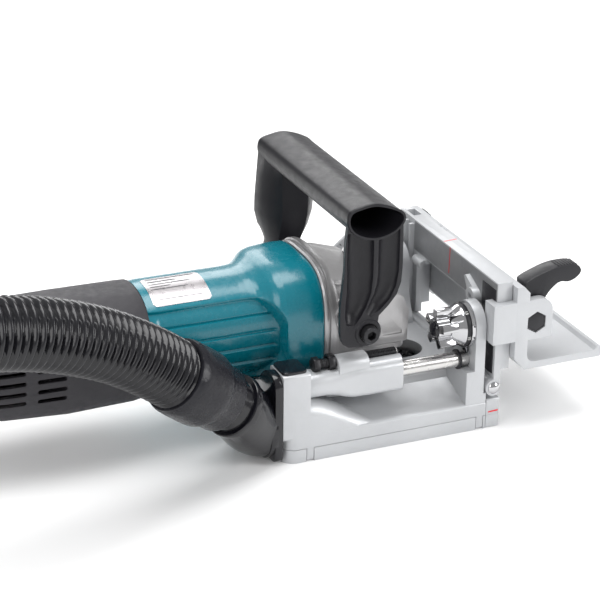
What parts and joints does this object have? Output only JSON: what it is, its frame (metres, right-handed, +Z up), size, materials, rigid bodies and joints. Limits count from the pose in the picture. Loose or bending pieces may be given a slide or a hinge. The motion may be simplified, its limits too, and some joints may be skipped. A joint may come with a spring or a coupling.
{
  "type": "biscuit joiner",
  "caption": "Hand-held biscuit joiner: a motor with a top handle plunges a small disc cutter through its base under a tilting, height-set fence, with a dust hose behind.",
  "frame": {"origin": "on the sole, under the cutter's axis with the motor drawn back", "axes": "+X forwards, from the motor to the fence, in the direction the cutter plunges; +Z up from the sole; +Y to the tool's left"},
  "size_m": [0.8801, 0.4547, 0.1456],
  "materials": {
    "cast_silver": "satin, light silver paint on a die casting",
    "gear_case": "satin die casting, darker than the base",
    "steel": "ground",
    "chrome": "polished",
    "black_steel": "black oxide",
    "bronze": "sintered",
    "copper": "wound and varnished",
    "teal_plastic": "smooth, semi-gloss",
    "grey_plastic": "fine spark texture",
    "black_plastic": "satin",
    "gloss_black": "gloss",
    "hose_rubber": "ribbed, satin"
  },
  "bodies": {
    "base": {"base_case": "cast_silver", "front_plate": "cast_silver", "cover_hinge_pin": "steel", "front_plate_screw_right": "black_steel", "front_plate_screw_left": "black_steel", "slide_rod_right": "steel", "slide_rod_left": "steel", "turret_bolt": "steel", "turret_detent_leaf": "chrome", "hinge_pin_right": "chrome", "hinge_pin_left": "chrome", "angle_bolt": "steel", "dust_nozzle": "gloss_black", "nozzle_screw": "steel", "hose_cuff": "hose_rubber", "hose_run": "hose_rubber", "hose_coil": "hose_rubber", "hose_end_cuff": "hose_rubber"},
    "cutter_cover": {"base_cover": "cast_silver", "cover_screw": "black_steel"},
    "motor_unit": {"slide_carriage": "cast_silver", "slide_bush_right": "bronze", "slide_bush_left": "bronze", "depth_lock_nut": "black_steel", "gear_housing": "gear_case", "bearing_retainer": "gear_case", "spindle_bearing_lower": "steel", "motor_housing": "teal_plastic", "rear_cover": "grey_plastic", "stator": "steel", "front_bearing": "steel", "rear_bearing": "steel", "brush_cap_right": "black_plastic", "brush_cap_left": "black_plastic", "cord_gland": "hose_rubber", "handle": "black_plastic", "handle_bolt_right": "black_steel", "handle_bolt_left": "black_steel", "return_spring_right": "steel", "return_spring_left": "steel", "shaft_lock_spring": "steel"},
    "cutter_spindle": {"spindle": "steel", "cutter": "steel", "cutter_flange": "steel", "cutter_lock_nut": "steel", "crown_gear": "steel"},
    "rotor": {"armature": "copper", "pinion": "steel", "fan": "black_plastic"},
    "depth_turret": {"stop_turret": "chrome", "turret_cap": "gloss_black"},
    "depth_adjuster": {"depth_screw": "black_steel"},
    "angle_guide": {"guide_frame": "cast_silver", "angle_quadrant": "cast_silver"},
    "height_fence": {"fence": "cast_silver", "fence_bolt": "black_steel"},
    "height_clamp": {"fence_lever": "black_plastic"},
    "angle_clamp": {"angle_lever": "black_plastic"},
    "power_switch": {"switch_slider": "black_plastic"},
    "spindle_lock": {"shaft_lock_pin": "black_plastic"}
  },
  "joints": [
    {"name": "plunge", "type": "slide", "parent": "base", "child": "motor_unit", "axis": [1, 0, 0], "range_m": [0, 0.02], "stiffness_N_per_m": 400, "springref_m": -0.025, "deforming": ["return_spring_right", "return_spring_left"]},
    {"name": "cutter_spin", "type": "hinge", "parent": "motor_unit", "child": "cutter_spindle", "pos_m": [0, 0, 0.03], "axis": [0, 0, 1], "continuous": true},
    {"name": "rotor_spin", "type": "hinge", "parent": "motor_unit", "child": "rotor", "pos_m": [-0.08, 0, 0.062], "axis": [1, 0, 0], "continuous": true},
    {"name": "depth_select", "type": "hinge", "parent": "base", "child": "depth_turret", "pos_m": [0.022, -0.049, 0.061], "axis": [1, 0, 0], "continuous": true},
    {"name": "depth_fine_adjust", "type": "hinge", "parent": "motor_unit", "child": "depth_adjuster", "pos_m": [-0.028, -0.049, 0.0515], "axis": [1, 0, 0], "continuous": true},
    {"name": "cover_swing", "type": "hinge", "parent": "base", "child": "cutter_cover", "pos_m": [0, -0.0602, 0.0018], "axis": [-1, 0, 0], "range_deg": [0, 90]},
    {"name": "guide_tilt", "type": "hinge", "parent": "base", "child": "angle_guide", "pos_m": [0.049, 0, 0.025], "axis": [0, 1, 0], "range_deg": [0, 90]},
    {"name": "fence_height", "type": "slide", "parent": "angle_guide", "child": "height_fence", "axis": [0, 0, 1], "range_m": [-0.012, 0.008]},
    {"name": "height_clamp_turn", "type": "hinge", "parent": "height_fence", "child": "height_clamp", "pos_m": [0.071, -0.056, 0.064], "axis": [0, 1, 0], "range_deg": [0, 35]},
    {"name": "angle_clamp_turn", "type": "hinge", "parent": "base", "child": "angle_clamp", "pos_m": [0.0375, 0.073, 0.066], "axis": [0, 1, 0], "range_deg": [0, 75]},
    {"name": "switch_slide", "type": "slide", "parent": "motor_unit", "child": "power_switch", "axis": [1, 0, 0], "range_m": [0, 0.006]},
    {"name": "spindle_lock_press", "type": "slide", "parent": "motor_unit", "child": "spindle_lock", "axis": [0, 0, 1], "range_m": [-0.004, 0], "stiffness_N_per_m": 800, "springref_m": 0.004, "deforming": ["shaft_lock_spring"]}
  ],
  "couplings": [
    {"joint": "rotor_spin", "follows": "cutter_spin", "ratio": -3}
  ]
}
